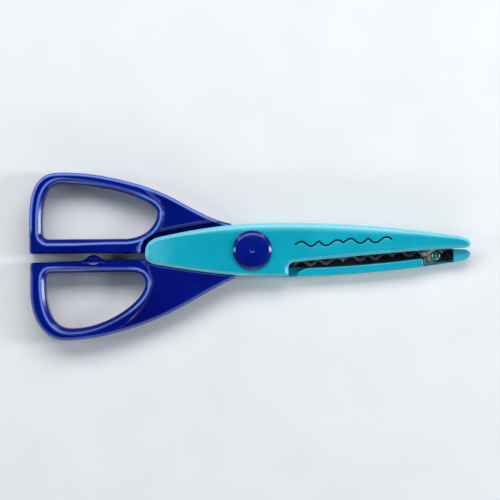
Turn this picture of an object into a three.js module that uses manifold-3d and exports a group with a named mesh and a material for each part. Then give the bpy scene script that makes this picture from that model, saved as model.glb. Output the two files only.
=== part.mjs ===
// Decorative edge scissors: two like halves, turned over on each other and joined by one pivot rivet.
//
// The row frame: the pivot's axis is +Z and passes through the origin, +X runs to the tips, +Y to the
// thumb bow, and z = 0 is the surface that the closed scissors lie on.
//
// Each half is drawn in its own frame. Its parting plane is z = 0, its outside is +Z, its cutting edge
// faces -Y and its bow lies at -Y. The upper half stands on the parting plane as drawn, and the lower
// half is the same half turned half a turn about X. All lengths are in millimetres.
import * as THREE from 'three';
import { mergeVertices } from 'three/addons/utils/BufferGeometryUtils.js';
import Module from 'manifold-3d';

const wasm = await Module();
wasm.setup();

// ---- Driving dimensions ----

const gap = 0.3; // left between pieces that touch or turn on each other
const partingHeight = 5.45; // the parting plane above the surface the scissors lie on

const bladeThickness = 1.2;
const shankThickness = 1.5;
const coverThickness = 2.0;
const bowThickness = 10.0;

const tipReach = 79.3; // pivot to where the cover's blade side turns into its nose
const tailReach = 40.0; // pivot to the end of the cover's tail
const coverHalfWidth = 10.15;
const heelReach = 13.5; // pivot to the step where the cover narrows to the blade
const rimWidth = 3.1; // the rim that wraps the blade's back
const rimRun = 5.0; // the rim rises to its full width over this length
const rimProud = 0.6; // how far the rim stands past the parting plane
const noseLength = 4.3; // solid nose of the cover past the blade's end
const coverClearance = 1.8; // left around the other half's cover, where a web stands beside it
const webInset = 1.0; // how far a web's faces lie below its bow's faces

const wavePitch = 18.4; // one repeat of the decorative edge
const wavePhase = 6.4; // where a pointed crest falls along X
const waveHeight = 0.9; // half of the edge's swing
const edgeOverhang = 1.35; // mean distance of the edge past the cover

const pivotHoleRadius = 5.6; // in the covers
const rivetRadius = 2.0;
const bushingRadius = 3.2;
const capRadius = 7.35;
const pinRadius = 1.0;
const roundSteps = 24;
const smallRoundSteps = 12; // for anything thinner than the rivet

// ---- Levels of one half, counted outwards from its parting plane ----

const innerFace = gap / 2;
const bladeBack = innerFace + bladeThickness;
const shankBack = innerFace + shankThickness;
const coverInside = shankBack + gap;
const coverOutside = coverInside + coverThickness;
const farAway = 40;

// ---- Solids ----

/** A closed three.js geometry as a manifold solid. */
function toSolid(geometry) {
  const bare = geometry.clone();
  bare.deleteAttribute('normal');
  bare.deleteAttribute('uv');
  const merged = mergeVertices(bare, 1e-4);
  const index = merged.index.array;
  const kept = [];
  for (let i = 0; i < index.length; i += 3) {
    const [a, b, c] = [index[i], index[i + 1], index[i + 2]];
    if (a !== b && b !== c && c !== a) kept.push(a, b, c);
  }
  return new wasm.Manifold(new wasm.Mesh({
    numProp: 3,
    vertProperties: new Float32Array(merged.attributes.position.array),
    triVerts: new Uint32Array(kept),
  }));
}

/** A manifold solid as a three.js geometry. */
function toGeometry(solid) {
  const mesh = solid.getMesh();
  const geometry = new THREE.BufferGeometry();
  geometry.setAttribute('position', new THREE.BufferAttribute(mesh.vertProperties, 3));
  geometry.setIndex(new THREE.BufferAttribute(mesh.triVerts, 1));
  geometry.computeVertexNormals();
  return geometry;
}

/** An upright prism between two levels, with an optional chamfer on both ends and optional holes. */
function prism(outline, low, high, { chamfer = 0, holes = [] } = {}) {
  const shape = new THREE.Shape(outline);
  shape.holes = holes.map((hole) => new THREE.Path(hole));
  const geometry = new THREE.ExtrudeGeometry(shape, {
    depth: high - low - 2 * chamfer,
    bevelEnabled: chamfer > 0,
    bevelThickness: chamfer,
    bevelSize: chamfer,
    bevelOffset: -chamfer,
    bevelSegments: 1,
  });
  geometry.translate(0, 0, low + chamfer);
  return toSolid(geometry);
}

/** An upright cylinder about (x, y). */
function disc(x, y, radius, low, high) {
  const steps = radius < rivetRadius + gap ? smallRoundSteps : roundSteps;
  const geometry = new THREE.CylinderGeometry(radius, radius, high - low, steps);
  geometry.rotateX(Math.PI / 2);
  geometry.translate(x, y, (low + high) / 2);
  return toSolid(geometry);
}

/** A ring about the pivot's axis. */
function ring(innerRadius, outerRadius, low, high) {
  return disc(0, 0, outerRadius, low, high).subtract(disc(0, 0, innerRadius, low - gap, high + gap));
}

/** A solid turned about the pivot's axis from (radius, height) pairs that start and end on the axis. */
function turned(profile) {
  const points = profile.map(([radius, height]) => new THREE.Vector2(radius, height));
  return new THREE.LatheGeometry(points, roundSteps).rotateX(Math.PI / 2);
}

// ---- Outlines ----

/** The corners of a drawn shape, without repeats. */
function corners(shape, stepsPerCurve) {
  const points = shape.getPoints(stepsPerCurve);
  return points.filter((point, i) => point.distanceTo(points[(i + 1) % points.length]) > 0.02);
}

/** A closed anticlockwise outline moved outwards by a distance. */
function grown(outline, distance) {
  return outline.map((point, i) => {
    const before = outline[(i + outline.length - 1) % outline.length];
    const after = outline[(i + 1) % outline.length];
    const direction = after.clone().sub(before).normalize();
    return new THREE.Vector2(point.x + direction.y * distance, point.y - direction.x * distance);
  });
}

/** The same outline on the other half, seen from this half. */
function turnedOver(outline) {
  return outline.map((point) => new THREE.Vector2(point.x, -point.y)).reverse();
}

/** The back of the cover, from the nose to the pivot, and the line its blade side follows. */
const backLine = new THREE.CubicBezierCurve(
  new THREE.Vector2(77, 4.8), new THREE.Vector2(57, 8),
  new THREE.Vector2(34, coverHalfWidth), new THREE.Vector2(8, coverHalfWidth),
);
const bladeSideLine = new THREE.CubicBezierCurve(
  new THREE.Vector2(heelReach + 2.5, -4.6), new THREE.Vector2(36, -2.8),
  new THREE.Vector2(60, -0.4), new THREE.Vector2(tipReach, 0.2),
);

/** Where on a curve it reaches a given x, for curves that run steadily along X. */
function placeAtX(curve, x) {
  let [low, high] = curve.getPoint(0).x < curve.getPoint(1).x ? [0, 1] : [1, 0];
  for (let i = 0; i < 30; i += 1) {
    const middle = (low + high) / 2;
    if (curve.getPoint(middle).x < x) low = middle;
    else high = middle;
  }
  return curve.getPoint((low + high) / 2);
}

/** Points at even steps of x along a curve, moved in Y. */
function along(curve, fromX, toX, steps, shift = () => 0) {
  return Array.from({ length: steps + 1 }, (_, i) => {
    const x = THREE.MathUtils.lerp(fromX, toX, i / steps);
    return new THREE.Vector2(x, placeAtX(curve, x).y + shift(x));
  });
}

function coverOutline() {
  const shape = new THREE.Shape();
  const [back, side] = [backLine, bladeSideLine];
  shape.moveTo(-tailReach, -0.3);
  shape.bezierCurveTo(-tailReach, -4.4, -38.8, -4.9, -33, -5.8);
  shape.bezierCurveTo(-18, -8.4, -2, -10.5, heelReach - 0.6, -9.9);
  shape.lineTo(heelReach, -9.2);
  shape.lineTo(heelReach, -7);
  shape.bezierCurveTo(heelReach, -5.4, 14.5, -4.8, side.v0.x, side.v0.y);
  shape.bezierCurveTo(side.v1.x, side.v1.y, side.v2.x, side.v2.y, side.v3.x, side.v3.y);
  shape.bezierCurveTo(80.9, 0.4, 81.6, 1.1, 81.6, 2.1);
  shape.bezierCurveTo(81.6, 3.4, 79.8, 4.35, back.v0.x, back.v0.y);
  shape.bezierCurveTo(back.v1.x, back.v1.y, back.v2.x, back.v2.y, back.v3.x, back.v3.y);
  shape.bezierCurveTo(-6, coverHalfWidth, -20, 8.3, -33, 5.5);
  shape.bezierCurveTo(-37, 4.9, -tailReach, 3.2, -tailReach, -0.3);
  return corners(shape, 8);
}

// One repeat of the decorative edge as (share of the pitch, height): a crest, a dip, a crest with a
// shallow notch in it, and another dip.
const waveTurns = [[0, 1], [0.14, -1], [0.39, 0.85], [0.49, 0.25], [0.63, 0.95], [0.84, -0.85], [1, 1]];

/** The height of the decorative edge, from -1 to 1, with smooth swings between its turns. */
function wave(x) {
  const share = THREE.MathUtils.euclideanModulo((x - wavePhase) / wavePitch, 1);
  const next = waveTurns.findIndex(([place]) => place > share);
  const [[fromPlace, fromHeight], [toPlace, toHeight]] = [waveTurns[next - 1], waveTurns[next]];
  const swing = (1 - Math.cos((Math.PI * (share - fromPlace)) / (toPlace - fromPlace))) / 2;
  return THREE.MathUtils.lerp(fromHeight, toHeight, swing);
}

const rimStart = heelReach + 3; // the rim along the blade's back, as distances from the pivot
const rimEnd = 63.8;
const bladeEnd = tipReach - noseLength;
const edgeSteps = 72;

function bladeOutline() {
  const backStep = rimEnd + gap; // past the rim the blade widens almost to the cover's edge
  const shape = new THREE.Shape();
  shape.moveTo(-31, -2.3);
  shape.lineTo(-9, -3.2);
  shape.bezierCurveTo(-4, -9, 9, -9.2, heelReach + 1, -6.6);
  const heel = corners(shape, 7);
  const edgeShift = (x) => waveHeight * wave(x) - edgeOverhang;
  const edge = along(bladeSideLine, heelReach + 2.5, bladeEnd, edgeSteps, edgeShift);
  const wideBack = along(backLine, bladeEnd, backStep, 3, () => -0.9);
  const wrappedBack = along(backLine, backStep, heelReach + 2.5, 8, () => -rimWidth - gap);
  const top = new THREE.Shape();
  const lastBack = wrappedBack[wrappedBack.length - 1];
  top.moveTo(lastBack.x, lastBack.y);
  top.bezierCurveTo(8, 7.6, -4, 9, -9, 3.4);
  top.lineTo(-31, 2.3);
  top.bezierCurveTo(-33.6, 2.3, -33.6, -2.3, -31, -2.3);
  return [...heel, ...edge, ...wideBack, ...wrappedBack, ...corners(top, 7).slice(1, -1)];
}

// Both bows, their holes, and the web between bow and pivot, where the handle is thinner.
const fingerBow = {
  outline() {
    const shape = new THREE.Shape();
    shape.moveTo(-82.8, -4.9);
    shape.lineTo(-83.1, -15);
    shape.bezierCurveTo(-83.1, -24.4, -78.5, -33.4, -70, -33.4);
    shape.bezierCurveTo(-58, -33.3, -45, -29.5, -34.5, -25.1);
    shape.bezierCurveTo(-26, -21.5, -16, -14.8, -6.8, -10.6);
    shape.lineTo(-4, -4);
    shape.lineTo(-40, -3.2);
    shape.lineTo(-81.9, -4);
    return corners(shape, 9);
  },
  hole() {
    const shape = new THREE.Shape();
    shape.moveTo(-75, -8.1);
    shape.bezierCurveTo(-76.7, -8.1, -77.2, -9, -77.2, -11);
    shape.bezierCurveTo(-77.4, -21.5, -74.6, -28.8, -67.8, -28.8);
    shape.bezierCurveTo(-62, -28.8, -56.5, -27.2, -51.2, -24.3);
    shape.bezierCurveTo(-45.2, -21, -40.2, -16.4, -40, -12.3);
    shape.bezierCurveTo(-40, -9.6, -42, -8.1, -45, -8.1);
    return corners(shape, 8);
  },
  web() {
    const shape = new THREE.Shape();
    shape.moveTo(-41, 5);
    shape.lineTo(-41, -3.3);
    shape.bezierCurveTo(-38.6, -5, -37.6, -8, -37.6, -12);
    shape.bezierCurveTo(-37.6, -19.5, -45, -27.2, -53, -30.9);
    shape.lineTo(-53, -farAway);
    shape.lineTo(20, -farAway);
    shape.lineTo(20, 5);
    return corners(shape, 7);
  },
};

const thumbBow = {
  outline() {
    const shape = new THREE.Shape();
    shape.moveTo(-83.2, 0.3);
    shape.lineTo(-83.3, -10);
    shape.bezierCurveTo(-83.3, -20, -82, -28.9, -73, -29.4);
    shape.bezierCurveTo(-67, -29.7, -60, -29, -53.8, -27.7);
    shape.bezierCurveTo(-44, -25.7, -36, -23.3, -28, -18.9);
    shape.bezierCurveTo(-20, -14.5, -14, -11, -8, -9.9);
    shape.lineTo(-4, -4);
    shape.lineTo(-38, 1);
    shape.lineTo(-82.4, 1);
    return corners(shape, 9);
  },
  hole() {
    const shape = new THREE.Shape();
    shape.moveTo(-76, -4.5);
    shape.bezierCurveTo(-77.6, -4.6, -78.3, -5.4, -78.3, -7.5);
    shape.bezierCurveTo(-78.4, -18, -77.5, -25.6, -70, -25.1);
    shape.bezierCurveTo(-64.5, -24.7, -57, -23.9, -50.6, -22.3);
    shape.bezierCurveTo(-42.5, -20.2, -35.4, -17, -35.4, -14);
    shape.bezierCurveTo(-35.6, -8.5, -41, -4.6, -47.4, -4.5);
    return corners(shape, 8);
  },
  web() {
    const shape = new THREE.Shape();
    shape.moveTo(-42.3, 8);
    shape.lineTo(-42.3, -1.5);
    shape.bezierCurveTo(-36.6, -3.5, -33, -8, -33, -13.5);
    shape.bezierCurveTo(-33, -18, -38, -22.5, -45, -27.6);
    shape.lineTo(-45, -farAway);
    shape.lineTo(20, -farAway);
    shape.lineTo(20, 8);
    return corners(shape, 7);
  },
};

// ---- Pieces of one half ----

const pins = {
  front_eyelet: [68.6, 2.6],
  middle_pin: [38, 1],
  front_tang_pin: [-17, 0],
  rear_tang_pin: [-27, 0],
};
const eyeletRadius = 1.75;

function holeRadius(pinName) {
  return (pinName === 'front_eyelet' ? eyeletRadius : pinRadius) + gap;
}

/** The rim's width, which grows from nothing along a quarter of an ellipse. */
function rimDepth(x) {
  const left = 1 - Math.min((x - rimStart) / rimRun, 1);
  return rimWidth * Math.sqrt(1 - left * left);
}

function coverSolid() {
  const outline = coverOutline();
  const backOfRim = along(backLine, rimEnd, rimStart, 12);
  const risingRim = along(backLine, rimStart + 0.1, rimStart + rimRun, 5, (x) => -rimDepth(x));
  const frontOfRim = along(backLine, rimStart + rimRun + 1, rimEnd, 12, () => -rimWidth);
  const nose = outline.filter((point) => point.x > bladeEnd + gap);
  let cover = prism(outline, coverInside, coverOutside, { chamfer: 0.6 })
    .add(prism([...backOfRim, ...risingRim, ...frontOfRim], -rimProud, coverInside + 1))
    .add(prism(nose, innerFace, coverInside + 1))
    .subtract(disc(0, 0, pivotHoleRadius, coverInside - 1, coverOutside + 1));
  for (const [name, [x, y]] of Object.entries(pins)) {
    if (name === 'front_eyelet') cover = cover.add(disc(x, y, pinRadius - gap, innerFace, coverInside + 1));
    else cover = cover.subtract(disc(x, y, pinRadius + gap, coverInside - 1, coverInside + 1.3));
  }
  return cover;
}

function bladeSolid() {
  let blade = prism(bladeOutline(), innerFace, bladeBack)
    .subtract(disc(0, 0, bushingRadius + gap, -1, shankBack));
  for (const [name, [x, y]] of Object.entries(pins)) {
    blade = blade.subtract(disc(x, y, holeRadius(name), -1, shankBack));
  }
  return blade;
}

function pinSolid(name) {
  const [x, y] = pins[name];
  if (name !== 'front_eyelet') return disc(x, y, pinRadius, innerFace, coverInside + 1);
  return disc(x, y, eyeletRadius, innerFace, coverInside - gap)
    .subtract(disc(x, y, pinRadius, -1, coverInside));
}

/** A bow at full thickness, running into a thinner web and a flat shank under the cover. */
function handleSolid(bow, bowInside) {
  const bowOutside = bowInside + bowThickness;
  const web = bow.web();
  const cover = coverOutline();
  const heel = [[-50, -20], [heelReach, -20], [heelReach, 20], [-50, 20]];
  const heelBox = heel.map(([x, y]) => new THREE.Vector2(x, y));
  const shank = prism(grown(cover, -gap), innerFace, shankBack)
    .intersect(prism(heelBox, innerFace - 1, shankBack + 1));
  return prism(bow.outline(), bowInside, bowOutside, { chamfer: 1.2, holes: [bow.hole()] })
    .subtract(prism(web, -farAway, bowInside + webInset))
    .subtract(prism(web, bowOutside - webInset, farAway))
    .subtract(prism(grown(cover, gap), shankBack, farAway))
    .add(shank)
    .subtract(prism(turnedOver(grown(cover, coverClearance)), -farAway, innerFace))
    .subtract(prism(grown(bladeOutline(), gap), -1, shankBack + gap));
}

/** The bump on the finger bow that meets the thumb bow when the scissors are closed. */
function stopBump() {
  const shape = new THREE.Shape();
  shape.absellipse(-59.3, -4.6, 4.2, 3.25, 0, Math.PI * 2);
  return prism(corners(shape, 20), -3, 3);
}

// ---- Materials ----

const blue = { color: 0x0a1f96, roughness: 0.22, metalness: 0 };
const teal = { color: 0x14a5ba, roughness: 0.32, metalness: 0 };
const steel = { color: 0x9a9ca0, roughness: 0.28, metalness: 1 };
const zinc = { color: 0xb9bcc0, roughness: 0.35, metalness: 1 };
const nylon = { color: 0xe6e4dc, roughness: 0.5, metalness: 0 };

function piece(name, shape, look) {
  const geometry = shape.isBufferGeometry ? shape : toGeometry(shape);
  const mesh = new THREE.Mesh(geometry, new THREE.MeshStandardMaterial(look));
  mesh.name = name;
  return mesh;
}

// ---- The two halves ----

function half(prefix, handle) {
  const group = new THREE.Group();
  group.position.z = partingHeight;
  group.add(piece(`${prefix}_handle`, handle, blue));
  group.add(piece(`${prefix}_cover`, coverSolid(), teal));
  group.add(piece(`${prefix}_blade`, bladeSolid(), steel));
  for (const name of Object.keys(pins)) {
    group.add(piece(`${prefix}_${name}`, pinSolid(name), zinc));
  }
  return group;
}

const fingerBowInside = -partingHeight; // both bows stand on the same surface as the pivot cap
const thumbBowInside = partingHeight - bowThickness;
const fingerHandle = handleSolid(fingerBow, fingerBowInside).add(stopBump());
const thumbHandle = handleSolid(thumbBow, thumbBowInside);

const upperHalf = half('upper', fingerHandle);
const lowerHalf = half('lower', thumbHandle);
lowerHalf.rotation.x = Math.PI;

// ---- The pivot ----

/** Levels in the row frame, from the bottom cap to the top cap. */
const coverBottom = partingHeight - coverOutside;
const coverTop = partingHeight + coverOutside;
const bladesBottom = partingHeight - bladeBack;
const bladesTop = partingHeight + bladeBack;
const washerThickness = 0.6;
const skirtDepth = 1.3;
const domeHeight = 1.8;

function pivotGroup() {
  const group = new THREE.Group();
  const washerRadius = 4.6;
  const lowWasher = bladesBottom - gap;
  const highWasher = bladesTop + gap;
  const headTop = lowWasher - washerThickness - gap;
  const headBottom = coverBottom + 0.4;
  const springLow = highWasher + washerThickness + gap;
  const springRise = 0.5;
  const springTop = springLow + springRise + 0.35;
  const formedHead = springTop + gap;
  const hole = rivetRadius + gap;
  const skirtOutside = pivotHoleRadius - gap;
  const skirtInside = skirtOutside - 0.7;

  const rivet = turned([
    [0, headBottom], [3.4, headBottom], [3.4, headTop], [rivetRadius, headTop],
    [rivetRadius, formedHead], [3.2, formedHead], [3.2, formedHead + 0.5], [2.2, formedHead + 0.9],
    [0, formedHead + 0.9],
  ]);
  const spring = disc(0, 0, washerRadius, springLow, springTop)
    .subtract(disc(0, 0, hole, springLow - 1, springTop + 1))
    .subtract(toSolid(turned([[0, springLow - 0.01], [washerRadius - 0.6, springLow - 0.01],
      [hole, springLow + springRise], [0, springLow + springRise]])));
  const topCap = turned([
    [0, coverTop + 1.1], [3.9, coverTop + 1.1], [skirtInside, coverTop + 0.4],
    [skirtInside, coverTop - skirtDepth], [skirtOutside, coverTop - skirtDepth],
    [skirtOutside, coverTop + gap], [capRadius, coverTop + gap], [capRadius, coverTop + gap + 0.5],
    [capRadius - 1.3, coverTop + gap + 1.3], [capRadius - 4, coverTop + gap + domeHeight - 0.1],
    [0, coverTop + gap + domeHeight],
  ]);
  const bottomCap = turned([
    [0, 0], [capRadius - 0.7, 0], [capRadius, 0.6], [capRadius, coverBottom - gap],
    [skirtOutside, coverBottom - gap], [skirtOutside, coverBottom + skirtDepth],
    [skirtInside, coverBottom + skirtDepth], [skirtInside, coverBottom - gap], [0, coverBottom - gap],
  ]);

  group.add(piece('pivot_rivet', rivet, steel));
  group.add(piece('pivot_bushing', ring(hole, bushingRadius, bladesBottom, bladesTop), nylon));
  group.add(piece('lower_washer', ring(hole, washerRadius, lowWasher - washerThickness, lowWasher), zinc));
  group.add(piece('upper_washer', ring(hole, washerRadius, highWasher, highWasher + washerThickness), zinc));
  group.add(piece('spring_washer', spring, steel));
  group.add(piece('top_cap', topCap, blue));
  group.add(piece('bottom_cap', bottomCap, blue));
  return group;
}

const scissors = new THREE.Group();
scissors.add(lowerHalf, upperHalf, pivotGroup());

export default scissors;
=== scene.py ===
# Decorative edge scissors: the visual model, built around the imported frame.
import math

import bpy
import numpy as np
from mathutils import Matrix, Vector
from mathutils.geometry import delaunay_2d_cdt


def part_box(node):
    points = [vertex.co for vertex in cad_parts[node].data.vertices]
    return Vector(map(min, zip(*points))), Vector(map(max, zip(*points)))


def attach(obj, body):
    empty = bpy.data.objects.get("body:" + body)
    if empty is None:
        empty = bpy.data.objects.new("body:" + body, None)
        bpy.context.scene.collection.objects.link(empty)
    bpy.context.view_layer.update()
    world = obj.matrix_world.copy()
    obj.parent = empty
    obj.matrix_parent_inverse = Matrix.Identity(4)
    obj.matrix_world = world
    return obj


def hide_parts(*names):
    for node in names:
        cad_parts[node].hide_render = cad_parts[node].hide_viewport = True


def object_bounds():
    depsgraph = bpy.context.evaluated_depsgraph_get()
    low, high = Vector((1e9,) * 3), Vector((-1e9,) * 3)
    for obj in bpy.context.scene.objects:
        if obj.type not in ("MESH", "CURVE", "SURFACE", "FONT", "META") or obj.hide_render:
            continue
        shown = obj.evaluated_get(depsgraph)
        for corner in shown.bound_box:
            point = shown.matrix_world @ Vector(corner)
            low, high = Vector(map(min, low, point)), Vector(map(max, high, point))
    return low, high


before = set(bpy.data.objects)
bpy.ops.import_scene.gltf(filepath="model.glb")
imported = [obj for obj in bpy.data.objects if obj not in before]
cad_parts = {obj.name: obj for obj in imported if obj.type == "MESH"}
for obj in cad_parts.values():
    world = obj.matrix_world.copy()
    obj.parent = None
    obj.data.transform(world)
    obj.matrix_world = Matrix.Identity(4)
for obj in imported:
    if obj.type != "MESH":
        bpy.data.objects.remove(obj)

# Outlines and heights are in millimetres and are scaled to metres when a mesh is made. Each half is
# drawn in its own frame: the parting plane is z = 0, the outside is +z, and the bow lies at -y. The
# halves share one cover and one blade, each has its own bow, and the lower half is then turned over,
# half a turn about x.
MM = 0.001
cad_low, cad_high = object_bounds()


def box_mm(node):
    low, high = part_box(node)
    return np.array(low) / MM, np.array(high) / MM


# ---- Driving dimensions, from the frame ----

upper_blade_low, upper_blade_high = box_mm("upper_blade")
upper_cover_low, upper_cover_high = box_mm("upper_cover")
finger_bow_low, finger_bow_high = box_mm("upper_handle")
thumb_bow_low, thumb_bow_high = box_mm("lower_handle")
top_cap_low, top_cap_high = box_mm("top_cap")
bottom_cap_low, bottom_cap_high = box_mm("bottom_cap")

PARTING = (upper_blade_low[2] + box_mm("lower_blade")[1][2]) / 2
GAP = 2 * (upper_blade_low[2] - PARTING)
INNER_FACE = GAP / 2
BLADE_BACK = upper_blade_high[2] - PARTING
SHANK_BACK = BLADE_BACK + GAP
COVER_OUTSIDE = upper_cover_high[2] - PARTING
COVER_WALL = 2.0
COVER_INSIDE = COVER_OUTSIDE - COVER_WALL
RIM_LEVEL = upper_cover_low[2] - PARTING
TAIL = -upper_cover_low[0]
HALF_WIDTH = upper_cover_high[1]
SKIN = 0.04  # smooth outlines stay this far inside the solids' corners

NOSE = 79.3 - SKIN  # pivot to where the cover's blade side turns into its nose
HEEL = 13.5  # pivot to the step where the cover narrows
EDGE_START = HEEL + 2.5  # pivot to the first point of the cutting edge
RIM_START, RIM_END, RIM_WIDTH, RIM_RUN = HEEL + 3, 63.8, 3.1, 5
NOSE_START = NOSE - 4
BLADE_END = NOSE_START - GAP
COVER_CLEARANCE = 1.8  # round the other half's cover, where a web stands beside it
WEB_INSET = 1.0  # how far a web's faces lie below its bow's faces
PIVOT_HOLE = 5.6
WASHER_HOLE = 2.3
CAP_WALL = 0.7
WAVE_PITCH, WAVE_PHASE, WAVE_HEIGHT, EDGE_OVERHANG = 18.4, 6.4, 1.05, 1.35
EYELET = (68.6, 2.6)
EYELET_RADIUS, PIN_RADIUS = 1.75, 1.0
PINS = {"middle_pin": (38, 1), "front_tang_pin": (-17, 0), "rear_tang_pin": (-27, 0)}

MESH_SPACING = 1.3  # between the points of a moulding's flat stretches
SHARP_ANGLE = math.radians(35)  # faces that meet at more than this keep a crisp edge


# ---- Outlines ----

def curve(start, *pieces, step=0.45):
    """Points along straight pieces (x, y) and cubic pieces (x1, y1, x2, y2, x, y)."""
    points = [np.array(start, float)]
    for piece in pieces:
        first = points[-1]
        handles = np.array(piece, float).reshape(-1, 2)
        if len(handles) == 1:
            handles = first + (handles[0] - first) * np.array([[1 / 3], [2 / 3], [1]])
        corners = np.vstack([first, handles])
        length = np.linalg.norm(np.diff(corners, axis=0), axis=1).sum()
        count = max(2, math.ceil(length / step))
        t = np.linspace(0, 1, count + 1)[1:, None]
        a, b, c, d = corners
        points.extend((1 - t) ** 3 * a + 3 * (1 - t) ** 2 * t * b + 3 * (1 - t) * t**2 * c + t**3 * d)
    return np.array(points)


def outline(start, *pieces, step=0.45):
    """A closed anticlockwise curve, without its repeated last point."""
    points = curve(start, *pieces, start, step=step)
    return points[:-1]


def circle(x, y, radius, count=72):
    turn = np.linspace(0, 2 * math.pi, count, endpoint=False)
    return np.stack([x + radius * np.cos(turn), y + radius * np.sin(turn)], axis=1)


def segments(line, closed):
    ends = np.roll(line, -1, axis=0)
    return (line, ends) if closed else (line[:-1], ends[:-1])


def distance(points, line, closed=True):
    """How far each point is from a polyline."""
    a, b = segments(line, closed)
    return distance_to_segments(points, a, b)


def distance_to_segments(points, a, b):
    run = b - a
    squared = np.maximum((run**2).sum(1), 1e-12)
    nearest = np.empty(len(points))
    for i in range(0, len(points), 1500):
        offset_to = points[i:i + 1500, None, :] - a[None]
        t = np.clip((offset_to * run).sum(2) / squared, 0, 1)
        nearest[i:i + 1500] = np.sqrt(((offset_to - t[..., None] * run) ** 2).sum(2).min(1))
    return nearest


def is_inside(points, loop):
    a, b = segments(loop, True)
    crossings = np.zeros(len(points), int)
    for (ax, ay), (bx, by) in zip(a, b):
        if ay == by:
            continue
        spans = (ay > points[:, 1]) != (by > points[:, 1])
        reach = ax + (points[:, 1] - ay) * (bx - ax) / (by - ay)
        crossings += spans & (points[:, 0] < reach)
    return crossings % 2 == 1


def signed(points, loop):
    """Distance to a closed outline, positive inside it."""
    return distance(points, loop) * np.where(is_inside(points, loop), 1, -1)


def grown(loop, amount):
    """A closed anticlockwise outline moved outwards, with any folds left out."""
    direction = np.roll(loop, -1, axis=0) - np.roll(loop, 1, axis=0)
    direction /= np.linalg.norm(direction, axis=1, keepdims=True)
    moved = loop + amount * np.stack([direction[:, 1], -direction[:, 0]], axis=1)
    return moved[distance(moved, loop) > abs(amount) - 0.02]


def beside(line, amount):
    """An open line moved to its right."""
    direction = np.gradient(line, axis=0)
    direction /= np.linalg.norm(direction, axis=1, keepdims=True)
    moved = line + amount * np.stack([direction[:, 1], -direction[:, 0]], axis=1)
    return moved[distance(moved, line, closed=False) > abs(amount) - 0.02]


def turned_over(loop):
    return (loop * [1, -1])[::-1]


# The two long pieces of the cover's outline, which the blade and the rim follow too.
BACK_PIECE = (57, 8, 34, HALF_WIDTH, 8, HALF_WIDTH)
BLADE_SIDE_PIECE = (36, -2.8, 60, -0.4, NOSE, 0.2)
BACK_LINE = curve((77, 4.8), BACK_PIECE)
BLADE_SIDE_LINE = curve((EDGE_START, -4.6), BLADE_SIDE_PIECE)
MIDDLE_LINE = curve((HEEL, 0), (18, 2.6), (NOSE, 2.4))


def height_on(line, x):
    order = np.argsort(line[:, 0])
    return np.interp(x, line[order, 0], line[order, 1])


def cover_outline():
    loop = curve(
        (-TAIL, -0.3),
        (-TAIL, -4.4, -38.8, -4.9, -33, -5.8),
        (-18, -8.4, -2, -10.5, HEEL - 0.8, -9.92),
        (HEEL - 0.3, -9.87, HEEL, -9.6, HEEL, -9.0),
        (HEEL, -7),
        (HEEL, -5.4, 14.5, -4.8, EDGE_START, -4.6),
        BLADE_SIDE_PIECE,
        (80.9, 0.4, 81.6, 1.1, 81.6, 2.1),
        (81.6, 3.4, 79.8, 4.35, 77, 4.8),
        BACK_PIECE,
        (-6, HALF_WIDTH, -20, 8.3, -33, 5.5),
        (-37, 4.9, -TAIL, 3.2, -TAIL, -0.3),
    )
    return grown(loop[:-1], -SKIN)


# One repeat of the decorative edge as (share of the pitch, height, whether the turn is pointed).
WAVE_TURNS = (
    (0, 0.87, True), (0.15, -0.9, False), (0.37, 0.8, False), (0.5, -0.3, True), (0.65, 1, False),
    (0.84, -0.83, False), (1, 0.87, True),
)


def wave(x):
    """The height of the decorative edge, from -1 to 1, with a smooth swing between its turns."""
    share = (np.asarray(x, float) - WAVE_PHASE) / WAVE_PITCH % 1
    height = np.zeros_like(share)
    for (start, low, start_pointed), (end, high, end_pointed) in zip(WAVE_TURNS, WAVE_TURNS[1:]):
        along = (share - start) / (end - start)
        swing = (1 - np.cos(math.pi * along)) / 2
        if start_pointed:
            swing = np.sin(math.pi / 2 * along)
        if end_pointed:
            swing = 1 - np.cos(math.pi / 2 * along)
        height = np.where((share >= start) & (share <= end), mix(low, high, swing), height)
    return height


def cutting_edge():
    x = np.arange(EDGE_START, BLADE_END, 0.25)
    return np.stack([x, height_on(BLADE_SIDE_LINE, x) - EDGE_OVERHANG + WAVE_HEIGHT * wave(x)], axis=1)


def blade_outline():
    back_step = RIM_END + GAP
    wide_x = np.linspace(BLADE_END, back_step, 24)
    wide_back = np.stack([wide_x, height_on(BACK_LINE, wide_x) - 0.9], axis=1)
    wrapped_x = np.linspace(back_step, EDGE_START, 90)
    wrapped_back = np.stack([wrapped_x, height_on(BACK_LINE, wrapped_x) - RIM_WIDTH - GAP], axis=1)
    heel = curve((-31, -2.3), (-9, -3.2), (-4, -9, 9, -9.2, HEEL + 1, -6.6))
    tang = curve(
        wrapped_back[-1], (8, 7.6, -4, 9, -9, 3.4), (-31, 2.3), (-33.6, 2.3, -33.6, -2.3, -31, -2.3),
    )
    return np.vstack([heel, cutting_edge(), wide_back, wrapped_back[:-1], tang[:-1]])


def rim_outline():
    """The rim along the blade's back, running out past the cover's own edge."""
    start_x = RIM_START + RIM_RUN * np.linspace(0.1, 1, 10) ** 2
    x = np.concatenate([start_x, np.arange(RIM_START + RIM_RUN + 0.5, RIM_END - 1, 0.45)])
    rise = 1 - np.clip((x - RIM_START) / RIM_RUN, 0, 1)
    inner = np.stack([x, height_on(BACK_LINE, x) - RIM_WIDTH * np.sqrt(1 - rise**2)], axis=1)
    end_back = height_on(BACK_LINE, RIM_END)
    last_y = inner[-1][1]
    front = curve(
        inner[-1], (RIM_END - 0.3, last_y - 0.1, RIM_END, last_y + 0.2, RIM_END, last_y + 1),
        (RIM_END, end_back + 2), step=0.2,
    )
    return np.vstack([inner[:-1], front, [(RIM_START, height_on(BACK_LINE, RIM_START) + 2)]])


# ---- Bows ----

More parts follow.
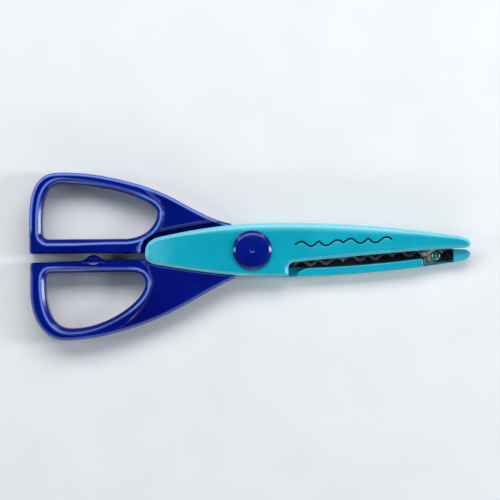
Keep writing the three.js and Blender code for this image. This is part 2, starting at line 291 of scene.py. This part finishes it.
FINGER_BOW = {
    "outline": outline(
        (-82.1, -4.15), (-82.9, -4.2, -82.95, -5, -82.97, -6),
        (-83.05, -15), (-83.05, -24.4, -78.5, -33.35, -70, -33.35),
        (-58, -33.25, -45, -29.45, -34.5, -25.05), (-26, -21.45, -16, -14.8, -6.8, -10.6),
        (-4, -4), (-40, -3.2), (-54.4, -3.5), (-56.4, -3.5, -57, -1.4, -59.3, -1.4),
        (-61.6, -1.4, -62.2, -3.6, -64.4, -3.7),
    ),
    "hole": outline(
        (-75, -8.1), (-76.7, -8.1, -77.2, -9, -77.2, -11), (-77.4, -21.5, -74.6, -28.8, -67.8, -28.8),
        (-62, -28.8, -56.5, -27.2, -51.2, -24.3), (-45.2, -21, -40.2, -16.4, -40, -12.3),
        (-40, -9.6, -42, -8.1, -45, -8.1),
    ),
    "web": outline(
        (-41, 5), (-41, -3.3), (-38.6, -5, -37.6, -8, -37.6, -12), (-37.6, -19.5, -45, -27.2, -53, -30.9),
        (-53, -36), (0, -36), (0, 5),
    ),
    "has_bump": True,
    # How strong the painted highlights on the outer crest and along the bar are.
    "outer_painted_highlight": 0.3,
    "bar_painted_highlight": 0.45,
    "inside": finger_bow_low[2] - PARTING,
    "outside": finger_bow_high[2] - PARTING,
}
THUMB_BOW = {
    "outline": outline(
        (-82.4, 0.95), (-83, 0.95, -83.2, 0.5, -83.22, -0.2), (-83.26, -10),
        (-83.26, -20, -82, -28.85, -73, -29.35), (-67, -29.65, -60, -28.95, -53.8, -27.65),
        (-44, -25.65, -36, -23.25, -28, -18.85), (-20, -14.45, -14, -11, -8, -9.9),
        (-4, -4), (-38, 0.95),
    ),
    "hole": outline(
        (-76, -4.5), (-77.6, -4.6, -78.3, -5.4, -78.3, -7.5), (-78.4, -18, -77.5, -25.6, -70, -25.1),
        (-64.5, -24.7, -57, -23.9, -50.6, -22.3), (-42.5, -20.2, -35.4, -17, -35.4, -14),
        (-35.6, -8.5, -41, -4.6, -47.4, -4.5),
    ),
    "web": outline(
        (-42.3, 5), (-42.3, -1.5), (-36.6, -3.5, -33, -8, -33, -13.5), (-33, -18, -38, -22.5, -45, -27.6),
        (-45, -33), (0, -33), (0, 5),
    ),
    "has_bump": False,
    # How strong the painted highlights on the outer crest and along the bar are.
    "outer_painted_highlight": 1,
    "bar_painted_highlight": 1,
    "inside": PARTING - thumb_bow_high[2],
    "outside": PARTING - thumb_bow_low[2],
}


# ---- Meshes ----

def mix(a, b, t):
    return a + (b - a) * t


def smooth01(t):
    t = np.clip(t, 0, 1)
    return t * t * (3 - 2 * t)


def round_drop(depth, radius, fall):
    """How far a surface falls towards an edge along a quarter ellipse."""
    u = np.clip(1 - depth / radius, 0, 1)
    return fall * (1 - np.sqrt(1 - u * u))


def slope_drop(depth, width, fall, crest=0.25):
    """How far a surface falls towards an edge along a flat slope with a soft crest."""
    u = np.clip(1 - depth / width, 0, 1)
    return fall * (1 + crest) * u * u / (u + crest)


def finish_mesh(name, vertices, faces):
    mesh = bpy.data.meshes.new(name)
    mesh.from_pydata(np.asarray(vertices) * MM, [], faces)
    mesh.validate()
    mesh.shade_smooth()
    mesh.set_sharp_from_angle(angle=SHARP_ANGLE)
    return mesh


def relief(name, bodies, cuts, creases, faces_at):
    """A moulding seen in plan: closed outlines joined, less the cuts, with a shaped face above and below.

    Each crease is a pair, (line, whether it is closed), that the mesh gets points along. faces_at takes
    the points and how far each lies from the moulding's own edge, and gives the upper and lower heights.
    """
    points, edges = [], []

    def add(line, closed):
        first = sum(map(len, points))
        points.append(np.asarray(line))
        edges.extend((first + i, first + i + 1) for i in range(len(line) - 1))
        if closed:
            edges.append((first + len(line) - 1, first))

    for loop in [*bodies, *cuts]:
        add(loop, True)
    for line, closed in creases:
        if len(line) > 2:
            add(line, closed)
    used = np.vstack(points)
    low, high = np.vstack(bodies).min(0), np.vstack(bodies).max(0)
    rows = np.arange(low[1], high[1], MESH_SPACING * math.sqrt(0.75))
    grid = np.array([
        (x + (row % 2) * MESH_SPACING / 2, y)
        for row, y in enumerate(rows) for x in np.arange(low[0], high[0], MESH_SPACING)
    ])
    clear = distance_to_points(grid, used) > 0.55 * MESH_SPACING
    points.append(grid[clear])

    flat = [Vector(p) for p in np.vstack(points)]
    found, _, triangles = delaunay_2d_cdt(flat, edges, [], 0, 1e-5, False)[:3]
    centres = np.array([tuple(p) for p in found])[np.array(triangles)].mean(1)
    solid = np.any([is_inside(centres, body) for body in bodies], axis=0)
    for cut in cuts:
        solid &= ~is_inside(centres, cut)
    kept = [list(t) for t, keep in zip(triangles, solid) if keep]
    place = np.array([tuple(p) for p in found])
    used_ids = sorted({i for t in kept for i in t})
    renumber = {old: new for new, old in enumerate(used_ids)}
    place = place[used_ids]
    kept = [[renumber[i] for i in t] for t in kept]

    directed = {(t[i], t[(i + 1) % 3]) for t in kept for i in range(3)}
    border = [(a, b) for a, b in directed if (b, a) not in directed]
    ends = np.array(border)
    middles = (place[ends[:, 0]] + place[ends[:, 1]]) / 2
    own = np.ones(len(border), bool)
    for cut in cuts:
        own &= distance(middles, cut) > 0.05
    edge = distance_to_segments(place, place[ends[own, 0]], place[ends[own, 1]])

    high_face, low_face = faces_at(place, edge)
    top = np.column_stack([place, high_face])
    bottom = np.column_stack([place, low_face])
    count = len(place)
    triangles_down = [[i + count for i in reversed(t)] for t in kept]
    walls = [[a + count, b + count, b, a] for a, b in border]
    return finish_mesh(name, np.vstack([top, bottom]), kept + triangles_down + walls)


def distance_to_points(points, others):
    nearest = np.empty(len(points))
    for i in range(0, len(points), 1000):
        gaps = points[i:i + 1000, None, :] - others[None]
        nearest[i:i + 1000] = np.sqrt((gaps**2).sum(2).min(1))
    return nearest


def lathe(name, profile, x=0, y=0, steps=96):
    """A solid turned about an upright axis from (radius, height) pairs, taken anticlockwise."""
    vertices, levels = [], []
    for radius, height in profile:
        if radius < 1e-6:
            levels.append([len(vertices)])
            vertices.append((x, y, height))
            continue
        levels.append(list(range(len(vertices), len(vertices) + steps)))
        for i in range(steps):
            turn = 2 * math.pi * i / steps
            vertices.append((x + radius * math.cos(turn), y + radius * math.sin(turn), height))
    pairs = list(zip(levels, levels[1:]))
    if len(levels[0]) > 1:
        pairs.append((levels[-1], levels[0]))
    faces = []
    for a, b in pairs:
        for i in range(steps):
            j = (i + 1) % steps
            corners = [a[i % len(a)], a[j % len(a)], b[j % len(b)], b[i % len(b)]]
            faces.append(list(dict.fromkeys(corners)))
    return finish_mesh(name, vertices, faces)


def rings(loop, amounts):
    return [(grown(loop, amount), True) for amount in amounts]


# ---- The pieces of a half ----

COVER = cover_outline()
BLADE = blade_outline()
RIM = rim_outline()
ENGRAVED_X = np.arange(16, 52.2, 0.2)
ENGRAVED_MIDDLE = 2.28 + 0.053 * (ENGRAVED_X - 24.8)
ENGRAVED = np.stack([ENGRAVED_X, ENGRAVED_MIDDLE + WAVE_HEIGHT * wave(ENGRAVED_X)], axis=1)
GROOVE_HALF_WIDTH, GROOVE_DEPTH = 0.43, 0.4


def cover_mesh():
    bevel, bevel_fall = 1.35, 0.95
    crown_fall = 1.4
    stud_radius = PIN_RADIUS - GAP
    nose_line = curve((NOSE_START, -2), (NOSE_START, 8))

    def crown(x):
        """How wide the rounding along the back is: narrower towards the tail and the nose."""
        width = height_on(BACK_LINE, x) - height_on(BLADE_SIDE_LINE, x)
        narrowest, widest, at_tail = 1.2, 3.6, 1.6
        behind_heel = mix(at_tail, widest, smooth01((x + 35) / 40))
        return np.where(x < HEEL, behind_heel, np.clip(0.33 * width, narrowest, widest))

    def faces_at(points, edge):
        middle = np.where(points[:, 0] < HEEL, 0, height_on(MIDDLE_LINE, points[:, 0]))
        towards_back = smooth01((points[:, 1] - middle) / 3 + 0.5)
        rounding = round_drop(edge, crown(points[:, 0]), crown_fall)
        drop = mix(slope_drop(edge, bevel, bevel_fall), rounding, towards_back)
        groove = np.clip(1 - distance(points, ENGRAVED, closed=False) / GROOVE_HALF_WIDTH, 0, 1)
        outside = COVER_OUTSIDE - drop - GROOVE_DEPTH * smooth01(groove)

        into_rim = signed(points, RIM)
        rim = RIM_LEVEL + round_drop(into_rim, 0.5, 0.5) + round_drop(edge, 0.6, 0.6)
        inside = np.where(into_rim > -0.02, rim, COVER_INSIDE)
        nose = INNER_FACE + round_drop(edge, 0.4, 0.3)
        inside = np.where(points[:, 0] > NOSE_START - 0.01, nose, inside)
        on_stud = distance_to_points(points, np.array([EYELET])) < stud_radius + 0.01
        return outside, np.where(on_stud, INNER_FACE, inside)

    creases = rings(COVER, [-0.08, -0.22, -0.4, -0.65, -0.9, -1.1, -1.25, -1.4, -1.8, -2.3, -2.8, -3.4])
    creases += rings(RIM, [0.05, 0, -0.08, -0.2, -0.35, -0.5])
    creases += [(beside(ENGRAVED, side * amount * GROOVE_HALF_WIDTH), False)
                for side in (-1, 1) for amount in (0.25, 0.5, 0.75, 1)]
    creases += [(circle(*end, share * GROOVE_HALF_WIDTH, 16), True)
                for end in (ENGRAVED[0], ENGRAVED[-1]) for share in (0.5, 1)]
    creases += [(ENGRAVED, False), (nose_line, False), (nose_line - [0.05, 0], False)]
    creases += [(circle(*EYELET, stud_radius + beyond, 24), True) for beyond in (0, 0.05)]
    mesh = relief("cover", [COVER], [circle(0, 0, PIVOT_HOLE)], creases, faces_at)

    def painted(place):
        depth = smooth01(4 - 4 * distance(place[:, :2], ENGRAVED, closed=False) / GROOVE_HALF_WIDTH)
        return np.where(place[:, 2] > COVER_OUTSIDE - 1, depth, 0)

    # Painted highlights: along the back's rounding, on the bevel, over the tail and on the nose's inside
    # face.
    def painted_highlight(place):
        edge = distance(place[:, :2], COVER)
        along_back = 0.85 * (1 - smooth01(edge / crown(place[:, 0]))) * smooth01(place[:, 1] / 3)
        along_bevel = (0.4 + 0.5 * smooth01((5 - place[:, 0]) / 10)) * (1 - smooth01(edge / bevel))
        at_tail = 0.18 * smooth01((-27 - place[:, 0]) / 10)
        on_inner_nose = np.where(place[:, 0] > NOSE_START, 0.15, 0)
        is_outside = place[:, 2] > COVER_INSIDE + 0.01
        return np.where(is_outside, np.max([along_back, along_bevel, at_tail], axis=0), on_inner_nose)

    mark(mesh, "painted", painted)
    mark(mesh, "painted_highlight", painted_highlight)
    return mesh


def mark(mesh, name, value_at):
    """Values from 0 to 1 at the mesh's points: painted highlights, the dark engraved line or a painted
    reflection.
    """
    place = np.array([v.co for v in mesh.vertices]) / MM
    attribute = mesh.attributes.new(name, "FLOAT", "POINT")
    attribute.data.foreach_set("value", value_at(place).astype(np.float32))


def blade_mesh():
    grind, edge_left = 1.05, 0.3
    edge_line = cutting_edge()

    def faces_at(points, edge):
        ground = np.clip(1 - distance(points, edge_line, closed=False) / grind, 0, 1)
        outside = BLADE_BACK - (BLADE_BACK - INNER_FACE - edge_left) * ground
        return outside, np.full(len(points), INNER_FACE)

    holes = [circle(0, 0, 3.5), circle(*EYELET, EYELET_RADIUS + GAP, 48)]
    holes += [circle(x, y, PIN_RADIUS + GAP, 32) for x, y in PINS.values()]
    creases = [(beside(edge_line, -amount), False) for amount in (0.3, 0.6, 0.9, grind - 0.03, grind)]
    mesh = relief("blade", [BLADE], holes, creases, faces_at)

    # A painted reflection: a beige patch on the steel beside the eyelet.
    def painted_reflection(place):
        patch_x, patch_reach = EYELET[0] - 3, 2.6
        return smooth01(1.4 - np.abs(place[:, 0] - patch_x) / patch_reach) * 0.8

    mark(mesh, "painted_reflection", painted_reflection)
    return mesh


def handle_mesh(bow):
    """A bow whose faces slope away from a crest on each side, and a lower web beside the cover."""
    recess = grown(COVER, GAP)
    shank = grown(COVER, -GAP)
    other_cover = turned_over(grown(COVER, COVER_CLEARANCE))
    outer_slope, slope_fall, web_fall, cover_bevel = 0.8, 1.2, 1.3, 1.3
    rounding, rounding_fall, flat_crest = 0.5, 0.7, 0.9
    bump_x, bump_reach, bump_base, bump_rise, bump_fall = -59.3, 6, -4.3, 1.4, 1.8

    def hole_slope(x):
        """How wide the slope beside the hole is: wider towards the bow's far end."""
        return 1.6 + 0.45 * smooth01((-50 - x) / 20)

    def faces_at(points, edge):
        to_hole = distance(points, bow["hole"])
        ridge = hole_slope(points[:, 0])
        width = edge + to_hole
        squeeze = np.minimum(1, width / (outer_slope + ridge + flat_crest))
        outer_drop = slope_drop(edge, outer_slope * squeeze, slope_fall)
        outer_drop += round_drop(edge, rounding, rounding_fall)
        hole_drop = slope_drop(to_hole, ridge * squeeze, slope_fall)
        hole_drop += round_drop(to_hole, rounding, rounding_fall)
        drop = outer_drop + hole_drop
        into_web = np.minimum(signed(points, bow["web"]) + 1, to_hole - ridge - 0.4)
        drop += WEB_INSET * smooth01(into_web / (web_fall + 0.8 * np.clip(to_hole - 4, 0, 6)))
        on_bump = np.clip((points[:, 1] - bump_base) / bump_rise, 0, 1)
        near_bump = np.abs(points[:, 0] - bump_x) < bump_reach
        drop += np.where(near_bump & bow["has_bump"], bump_fall * on_bump, 0)

        into_recess, into_other = signed(points, recess), signed(points, other_cover)
        outside = bow["outside"] - drop - round_drop(-into_recess, 0.4, 0.35)
        inside = bow["inside"] + drop + slope_drop(-into_other, cover_bevel, 1, 0.2)
        beyond = signed(points, bow["outline"]) < -0.03
        outside = np.where((into_recess > -0.02) | beyond, SHANK_BACK, outside)
        inside = np.where((into_other > -0.02) | beyond, INNER_FACE, inside)
        return outside, inside

    slope_rings = [0.1, 0.25, 0.5, 0.8, 1.1, 1.3, 1.45, 1.6, 1.75, 2.1]
    creases = rings(bow["outline"], [0.06] + [-amount for amount in slope_rings])
    creases += rings(bow["hole"], slope_rings + [2.35, 2.7, 3])
    creases += rings(bow["web"], [1, 0.6, 0.2, -0.2])
    creases += rings(recess, [0, 0.05, 0.12, 0.25, 0.4])
    creases += rings(other_cover, [0, 0.05, 0.3, 0.6, 0.9, 1.1, 1.3])
    past_heel = outline((HEEL - GAP, -14), (NOSE + 4, -14), (NOSE + 4, 14), (HEEL - GAP, 14), step=3)
    cuts = [bow["hole"], grown(BLADE, GAP), past_heel]
    mesh = relief("handle", [bow["outline"], shank], cuts, creases, faces_at)

    # Painted highlights along the crests beside the hole and the outer edge, and on the thumb bar's end.
    def painted_highlight(place):
        to_hole = distance(place[:, :2], bow["hole"])
        to_edge = distance(place[:, :2], bow["outline"])
        crest_reach = 0.6
        hole_x = bow["hole"][:, 0]
        middle = (hole_x.min() + hole_x.max()) / 2
        reach = np.ptp(hole_x) / 2
        at_ends = 0.3 + 0.7 * smooth01((np.abs(place[:, 0] - middle) - reach / 2) / (reach / 2.5))
        on_bar = bow["bar_painted_highlight"] * smooth01((place[:, 1] + 10) / 4)
        off_crest = np.abs(to_hole - hole_slope(place[:, 0]))
        hole_crest = np.maximum(at_ends, on_bar) * smooth01(1 - off_crest / crest_reach)
        outer_side = bow["outer_painted_highlight"] * smooth01((-6 - place[:, 1]) / 3)
        outer_crest = outer_side * smooth01(1 - np.abs(to_edge - outer_slope) / crest_reach)
        to_cover = distance(place[:, :2], other_cover)
        beside_tail = (place[:, 0] < 1.2 - TAIL - COVER_CLEARANCE) & (place[:, 2] <= 0)
        bar_end = np.where(beside_tail, bow["bar_painted_highlight"] * smooth01(1.3 - to_cover), 0)
        return np.max([hole_crest, outer_crest, bar_end], axis=0)

    mark(mesh, "painted_highlight", painted_highlight)
    return mesh


def eyelet_mesh():
    """A rolled ring round the cover's stud."""
    low, high = INNER_FACE, COVER_INSIDE - GAP
    roll = (EYELET_RADIUS - PIN_RADIUS) / 2
    middle = PIN_RADIUS + roll
    profile = [(PIN_RADIUS, high), (PIN_RADIUS, low + roll)]
    for i in range(1, 8):
        turn = math.pi * i / 8
        profile.append((middle - roll * math.cos(turn), low + roll - roll * math.sin(turn)))
    profile += [(EYELET_RADIUS, low + roll), (EYELET_RADIUS, high)]
    return lathe("eyelet", profile, *EYELET, steps=64)


def pin_mesh(x, y):
    low, high, edge = INNER_FACE, COVER_INSIDE + 1, 0.15
    profile = [(0, low), (PIN_RADIUS - edge, low), (PIN_RADIUS, low + edge), (PIN_RADIUS, high - edge),
               (PIN_RADIUS - edge, high), (0, high)]
    return lathe("pin", profile, x, y, steps=48)


# ---- Materials ----

def new_material(name):
    material = bpy.data.materials.new(name)
    material.use_nodes = True
    nodes, links = material.node_tree.nodes, material.node_tree.links
    return material, nodes, links, nodes["Principled BSDF"]


def noise(nodes, links, coordinates, scale, detail=3.0, stretch=(1, 1, 1)):
    mapping = nodes.new("ShaderNodeMapping")
    mapping.inputs["Scale"].default_value = stretch
    links.new(coordinates, mapping.inputs["Vector"])
    texture = nodes.new("ShaderNodeTexNoise")
    texture.inputs["Scale"].default_value = scale
    texture.inputs["Detail"].default_value = detail
    links.new(mapping.outputs["Vector"], texture.inputs["Vector"])
    return texture.outputs["Fac"]


def ranged(nodes, links, value, low, high, start=0.3, stop=0.7):
    node = nodes.new("ShaderNodeMapRange")
    node.inputs["From Min"].default_value = start
    node.inputs["From Max"].default_value = stop
    node.inputs["To Min"].default_value = low
    node.inputs["To Max"].default_value = high
    links.new(value, node.inputs["Value"])
    return node.outputs["Result"]


def blended(nodes, links, factor, a, b):
    """A colour between a and b, each a colour or another node's output."""
    node = nodes.new("ShaderNodeMix")
    node.data_type = "RGBA"
    links.new(factor, node.inputs["Factor"])
    for socket, colour in (("A", a), ("B", b)):
        target = next(s for s in node.inputs if s.name == socket and s.type == "RGBA")
        if isinstance(colour, tuple):
            target.default_value = (*colour, 1)
        else:
            links.new(colour, target)
    return next(s for s in node.outputs if s.type == "RGBA")


def attribute_value(nodes, name):
    node = nodes.new("ShaderNodeAttribute")
    node.attribute_name = name
    return node.outputs["Fac"]


def bumped(nodes, links, height, strength, depth, shader):
    node = nodes.new("ShaderNodeBump")
    node.inputs["Strength"].default_value = strength
    node.inputs["Distance"].default_value = depth
    links.new(height, node.inputs["Height"])
    links.new(node.outputs["Normal"], shader.inputs["Normal"])


def moulded_plastic(name, deep, light, painted_highlight_colour, rough, paint=None):
    """Glossy moulded plastic: flow mottling, fine orange peel, hairline scuffs and painted highlights
    where the mesh marks them.
    """
    material, nodes, links, shader = new_material(name)
    here = nodes.new("ShaderNodeTexCoord").outputs["Object"]
    flow = noise(nodes, links, here, 70, 4)
    peel = noise(nodes, links, here, 900, 2)
    scuffs = noise(nodes, links, here, 500, 2, (1, 9, 1))
    colour = blended(nodes, links, ranged(nodes, links, flow, 0, 1), deep, light)
    colour = blended(nodes, links, attribute_value(nodes, "painted_highlight"), colour, painted_highlight_colour)
    if paint:
        colour = blended(nodes, links, attribute_value(nodes, "painted"), colour, paint)
    links.new(colour, shader.inputs["Base Color"])
    links.new(ranged(nodes, links, scuffs, rough, rough + 0.14, 0.35, 0.8), shader.inputs["Roughness"])
    shader.inputs["IOR"].default_value = 1.5
    bumped(nodes, links, peel, 0.12, 0.00006, shader)
    return material


def ground_steel(name, dark, bright, rough):
    """Ground steel: brush lines across the blade, faint stains, and a rougher patch with a painted beige
    reflection.
    """
    material, nodes, links, shader = new_material(name)
    here = nodes.new("ShaderNodeTexCoord").outputs["Object"]
    brush = noise(nodes, links, here, 300, 3, (14, 1, 1))
    stains = noise(nodes, links, here, 90, 3)
    colour = blended(nodes, links, ranged(nodes, links, stains, 0, 1), dark, bright)
    # The beige patch is a painted reflection, broken up by noise; the steel there is rougher too.
    painted_reflection = nodes.new("ShaderNodeMath")
    painted_reflection.operation = "MULTIPLY"
    links.new(attribute_value(nodes, "painted_reflection"), painted_reflection.inputs[0])
    links.new(ranged(nodes, links, noise(nodes, links, here, 500, 3), 0.2, 1), painted_reflection.inputs[1])
    colour = blended(nodes, links, painted_reflection.outputs[0], colour, PAINTED_REFLECTION_BEIGE)
    links.new(colour, shader.inputs["Base Color"])
    gloss = nodes.new("ShaderNodeMath")
    gloss.operation = "MULTIPLY_ADD"
    links.new(painted_reflection.outputs[0], gloss.inputs[0])
    gloss.inputs[1].default_value = 0.45
    links.new(ranged(nodes, links, brush, rough, rough + 0.2), gloss.inputs[2])
    links.new(gloss.outputs[0], shader.inputs["Roughness"])
    shader.inputs["Metallic"].default_value = 1
    bumped(nodes, links, brush, 0.25, 0.00004, shader)
    return material


# The third colour of each plastic is the colour of its painted highlights.
PAINTED_HIGHLIGHT_BLUE = (0.15, 0.3, 0.95)
# The beige of the painted reflection on the steel.
PAINTED_REFLECTION_BEIGE = (0.6, 0.56, 0.47)
BLUE = moulded_plastic("blue_plastic", (0.0004, 0.003, 0.135), (0.001, 0.009, 0.225), PAINTED_HIGHLIGHT_BLUE, 0.13)
# The caps' blue is a lighter copy of the bows' blue: painted light.
CAP_BLUE_PAINTED_LIGHTER = moulded_plastic("cap_blue_painted_lighter", (0.0004, 0.005, 0.155), (0.001, 0.013, 0.26), PAINTED_HIGHLIGHT_BLUE,
                           0.12)
TEAL = moulded_plastic("teal_plastic", (0.002, 0.35, 0.47), (0.006, 0.42, 0.56), (0.24, 0.78, 0.88), 0.17,
                       paint=(0.0, 0.045, 0.075))
STEEL = ground_steel("ground_steel", (0.03, 0.035, 0.046), (0.11, 0.115, 0.135), 0.2)
PLATED = ground_steel("plated_steel", (0.2, 0.32, 0.3), (0.38, 0.5, 0.47), 0.25)
NYLON = moulded_plastic("nylon", (0.7, 0.68, 0.6), (0.8, 0.78, 0.7), (0.85, 0.84, 0.8), 0.4)


def settle(name, mesh, material, body, node, matrix=Matrix()):
    """Makes a finished piece with its material, place and body, standing for a CAD node."""
    mesh.transform(matrix)
    mesh.materials.append(material)
    piece = bpy.data.objects.new(name, mesh)
    bpy.context.scene.collection.objects.link(piece)
    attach(piece, body)
    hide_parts(node)


# ---- The two halves ----

UPPER = Matrix.Translation((0, 0, PARTING * MM))
LOWER = UPPER @ Matrix.Rotation(math.pi, 4, "X")


def make_half(prefix, handle, matrix):
    body = f"{prefix}_half"

    def add(name, mesh, material, slot, node):
        settle(f"{prefix}_{name}", mesh, material, body, f"{prefix}_{node}", matrix)

    add("cover_shell", cover.copy(), TEAL, "cover_plastic", "cover")
    add("handle_moulding", handle, BLUE, "handle_plastic", "handle")
    add("blade_ground", blade.copy(), STEEL, "blade_steel", "blade")
    add("eyelet_ring", eyelet_mesh(), PLATED, "fastener_steel", "front_eyelet")
    for pin, place in PINS.items():
        add(f"{pin}_turned", pin_mesh(*place), PLATED, "fastener_steel", pin)


cover = cover_mesh()
blade = blade_mesh()
make_half("upper", handle_mesh(FINGER_BOW), UPPER)
make_half("lower", handle_mesh(THUMB_BOW), LOWER)


# ---- The pivot ----

def make_top_cap():
    low, high = top_cap_low[2], top_cap_high[2]
    radius = top_cap_high[0] - SKIN
    cover_top = PARTING + COVER_OUTSIDE
    skirt = PIVOT_HOLE - GAP
    bore = skirt - CAP_WALL
    base = cover_top + GAP
    facet, centre = radius - 1.1, high - 0.02
    dome = curve(
        (radius, base + 0.1), (radius, base + 0.4),
        (radius, base + 0.6, radius - 0.15, base + 0.68, radius - 0.3, base + 0.76),
        (facet, base + 1.22), (facet - 0.8, base + 1.55, facet - 2.6, centre - 0.04, 1.2, centre),
        (0.8, centre, 0.85, centre - 0.18, 0.4, centre - 0.22), (0, centre - 0.22), step=0.14,
    )
    under = [(0, cover_top + 1.1), (3.9, cover_top + 1.1), (bore, cover_top + 0.4),
             (bore, low), (skirt, low), (skirt, base), (radius - 0.1, base)]
    mesh = lathe("top_cap", under + [tuple(p) for p in dome], steps=128)
    settle("top_cap_dome", mesh, CAP_BLUE_PAINTED_LIGHTER, "lower_half", "top_cap")


def make_bottom_cap():
    low, high = bottom_cap_low[2], bottom_cap_high[2]
    radius = bottom_cap_high[0] - SKIN
    skirt = PIVOT_HOLE - GAP
    bore = skirt - CAP_WALL
    top = PARTING - COVER_OUTSIDE - GAP
    edge = curve((radius - 0.8, low), (radius - 0.3, low, radius, low + 0.3, radius, low + 0.7), step=0.1)
    profile = [(0, low)] + [tuple(p) for p in edge]
    profile += [(radius, top - 0.1), (radius - 0.1, top), (skirt, top), (skirt, high), (bore, high),
                (bore, top), (0, top)]
    mesh = lathe("bottom_cap", profile, steps=128)
    settle("bottom_cap_disc", mesh, CAP_BLUE_PAINTED_LIGHTER, "lower_half", "bottom_cap")


def make_washer(name, node, material):
    low, high = box_mm(node)
    outer, inner, edge = high[0], WASHER_HOLE, 0.1
    bottom, top = low[2], high[2]
    profile = [(inner + edge, bottom), (outer - edge, bottom), (outer, bottom + edge), (outer, top - edge),
               (outer - edge, top), (inner + edge, top), (inner, top - edge), (inner, bottom + edge)]
    settle(name, lathe(name, profile), material, "lower_half", node)


def make_spring_washer():
    low, high = box_mm("spring_washer")
    outer, inner, sheet = high[0], WASHER_HOLE, 0.35
    bottom, top = low[2], high[2]
    profile = [(inner, top - sheet), (outer - 0.5, bottom), (outer, bottom), (outer, bottom + sheet),
               (outer - 0.4, bottom + sheet), (inner, top)]
    mesh = lathe("spring", profile)
    settle("spring_washer_dished", mesh, STEEL, "lower_half", "spring_washer")


def make_rivet():
    low, high = box_mm("pivot_rivet")
    head, shaft, edge = high[0], 2.0, 0.25
    bottom, top = low[2], high[2]
    head_top = box_mm("lower_washer")[0][2] - GAP
    formed = box_mm("spring_washer")[1][2] + GAP
    profile = [(0, bottom), (head - edge, bottom), (head, bottom + edge), (head, head_top)]
    profile += [(shaft, head_top), (shaft, formed)]
    profile += [(head - 0.2, formed), (head - 0.2, formed + 0.5), (head - 1.2, top), (0, top)]
    mesh = lathe("rivet", profile)
    settle("pivot_rivet_turned", mesh, STEEL, "lower_half", "pivot_rivet")


make_top_cap()
make_bottom_cap()
make_rivet()
make_spring_washer()
make_washer("lower_washer_flat", "lower_washer", PLATED)
make_washer("upper_washer_flat", "upper_washer", PLATED)
make_washer("pivot_bushing_sleeve", "pivot_bushing", NYLON)


# ---- Stage ----

def make_floor():
    mesh = bpy.data.meshes.new("floor")
    reach, level = 3.0, -0.00005
    corners = [(x * reach, y * reach, level) for x, y in ((-1, -1), (1, -1), (1, 1), (-1, 1))]
    mesh.from_pydata(corners, [], [(0, 1, 2, 3)])
    floor = bpy.data.objects.new("floor", mesh)
    bpy.context.scene.collection.objects.link(floor)
    material, nodes, links, shader = new_material("pale_floor")
    here = nodes.new("ShaderNodeTexCoord").outputs["Object"]
    tone = ranged(nodes, links, noise(nodes, links, here, 40), 0, 1)
    colour = blended(nodes, links, tone, (0.86, 0.86, 0.85), (0.9, 0.9, 0.89))
    links.new(colour, shader.inputs["Base Color"])
    shader.inputs["Roughness"].default_value = 0.8
    mesh.materials.append(material)


def area_light(name, place, size, watts, colour=(1, 1, 1)):
    light = bpy.data.lights.new(name, "AREA")
    light.shape = "RECTANGLE"
    light.size, light.size_y = size
    light.energy = watts
    light.color = colour
    lamp = bpy.data.objects.new(name, light)
    lamp.location = place
    lamp.rotation_mode = "QUATERNION"
    lamp.rotation_quaternion = (-Vector(place)).to_track_quat("-Z", "Y")
    bpy.context.scene.collection.objects.link(lamp)


def make_lights():
    """Softboxes all round, and a surround that is dark overhead, so that flat faces keep their colour."""
    area_light("back_softbox", (-0.05, 0.48, 0.57), (1.2, 0.34), 5.4)
    area_light("front_softbox", (0.05, -0.66, 0.3), (1.1, 0.1), 1.4)
    area_light("left_softbox", (-0.64, 0.02, 0.33), (0.14, 0.3), 1.1, (0.7, 0.84, 1))
    area_light("right_softbox", (0.64, 0.02, 0.33), (0.14, 0.3), 2.6, (0.8, 0.9, 1))
    world = bpy.data.worlds.new("studio")
    world.use_nodes = True
    nodes, links = world.node_tree.nodes, world.node_tree.links
    split = nodes.new("ShaderNodeSeparateXYZ")
    links.new(nodes.new("ShaderNodeTexCoord").outputs["Generated"], split.inputs["Vector"])
    strength = ranged(nodes, links, split.outputs["Z"], 0.3, 0.02, 0.1, 0.9)
    links.new(strength, nodes["Background"].inputs["Strength"])
    nodes["Background"].inputs["Color"].default_value = (0.95, 0.97, 1, 1)
    bpy.context.scene.world = world
    bpy.context.scene.view_settings.view_transform = "Standard"


def make_camera():
    """Straight above the scissors and slightly turned, with room for the opened pose."""
    turn, margin = math.radians(0.4), 1.14
    centre = (cad_low + cad_high) / 2
    width = (cad_high - cad_low).x * margin
    height = 1.1
    data = bpy.data.cameras.new("camera")
    data.lens = data.sensor_width * height / width
    camera = bpy.data.objects.new("camera", data)
    camera.location = (centre.x, 0, height)
    camera.rotation_euler.z = -turn
    bpy.context.scene.collection.objects.link(camera)
    bpy.context.scene.camera = camera


make_floor()
make_lights()
make_camera()
